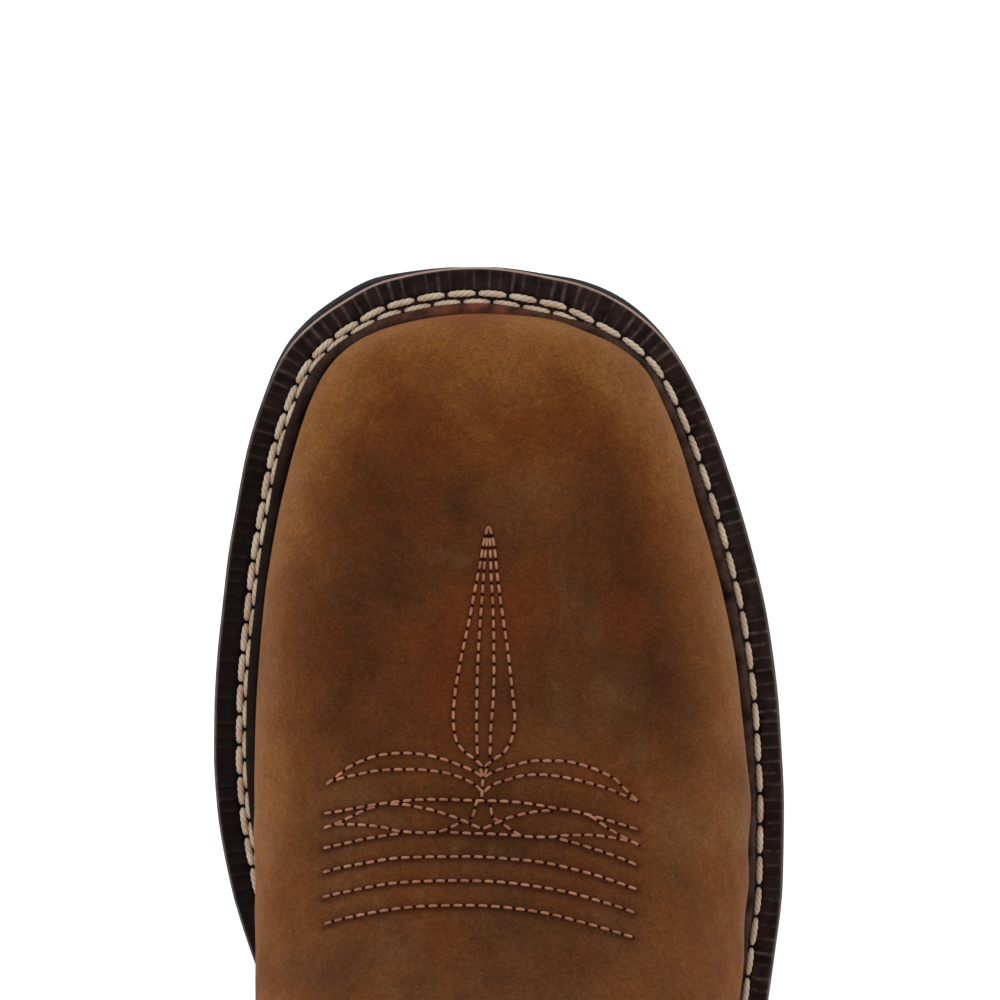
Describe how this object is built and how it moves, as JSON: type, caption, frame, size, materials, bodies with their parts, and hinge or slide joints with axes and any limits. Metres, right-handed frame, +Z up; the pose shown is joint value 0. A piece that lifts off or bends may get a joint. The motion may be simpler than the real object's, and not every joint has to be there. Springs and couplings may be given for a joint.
{
  "type": "western work boot",
  "caption": "Right western work boot with a broad square toe, oiled brown leather, dark ribbed welt, stitched vamp, block heel and pull straps.",
  "frame": {"origin": "middle of the boot's plan box, on the ground that the sole stands on", "axes": "+Z up, +Y towards the toe, +X towards the outer side of the right foot"},
  "size_m": [0.116, 0.3062, 0.3332],
  "materials": {
    "oiled_leather": "matt oiled, mottled brown",
    "trim_leather": "matt oiled, dark brown",
    "welt_leather": "dark, ribbed, waxed edge",
    "midsole_leather": "dusty red-brown edge",
    "insole_leather": "undyed, matt",
    "heel_stack": "dark stacked edge, waxed",
    "outsole_rubber": "matt black",
    "lining_leather": "undyed, matt",
    "welt_thread": "thick waxed cream thread",
    "pattern_thread": "fine dusty tan thread"
  },
  "bodies": {
    "root": {"outsole": "outsole_rubber", "heel_block": "heel_stack", "heel_lift": "outsole_rubber", "midsole": "midsole_leather", "welt": "welt_leather", "upper": "oiled_leather", "insole": "insole_leather", "side_seam_lateral": "trim_leather", "side_seam_medial": "trim_leather", "pull_strap_lateral": "trim_leather", "pull_strap_medial": "trim_leather"}
  },
  "joints": []
}
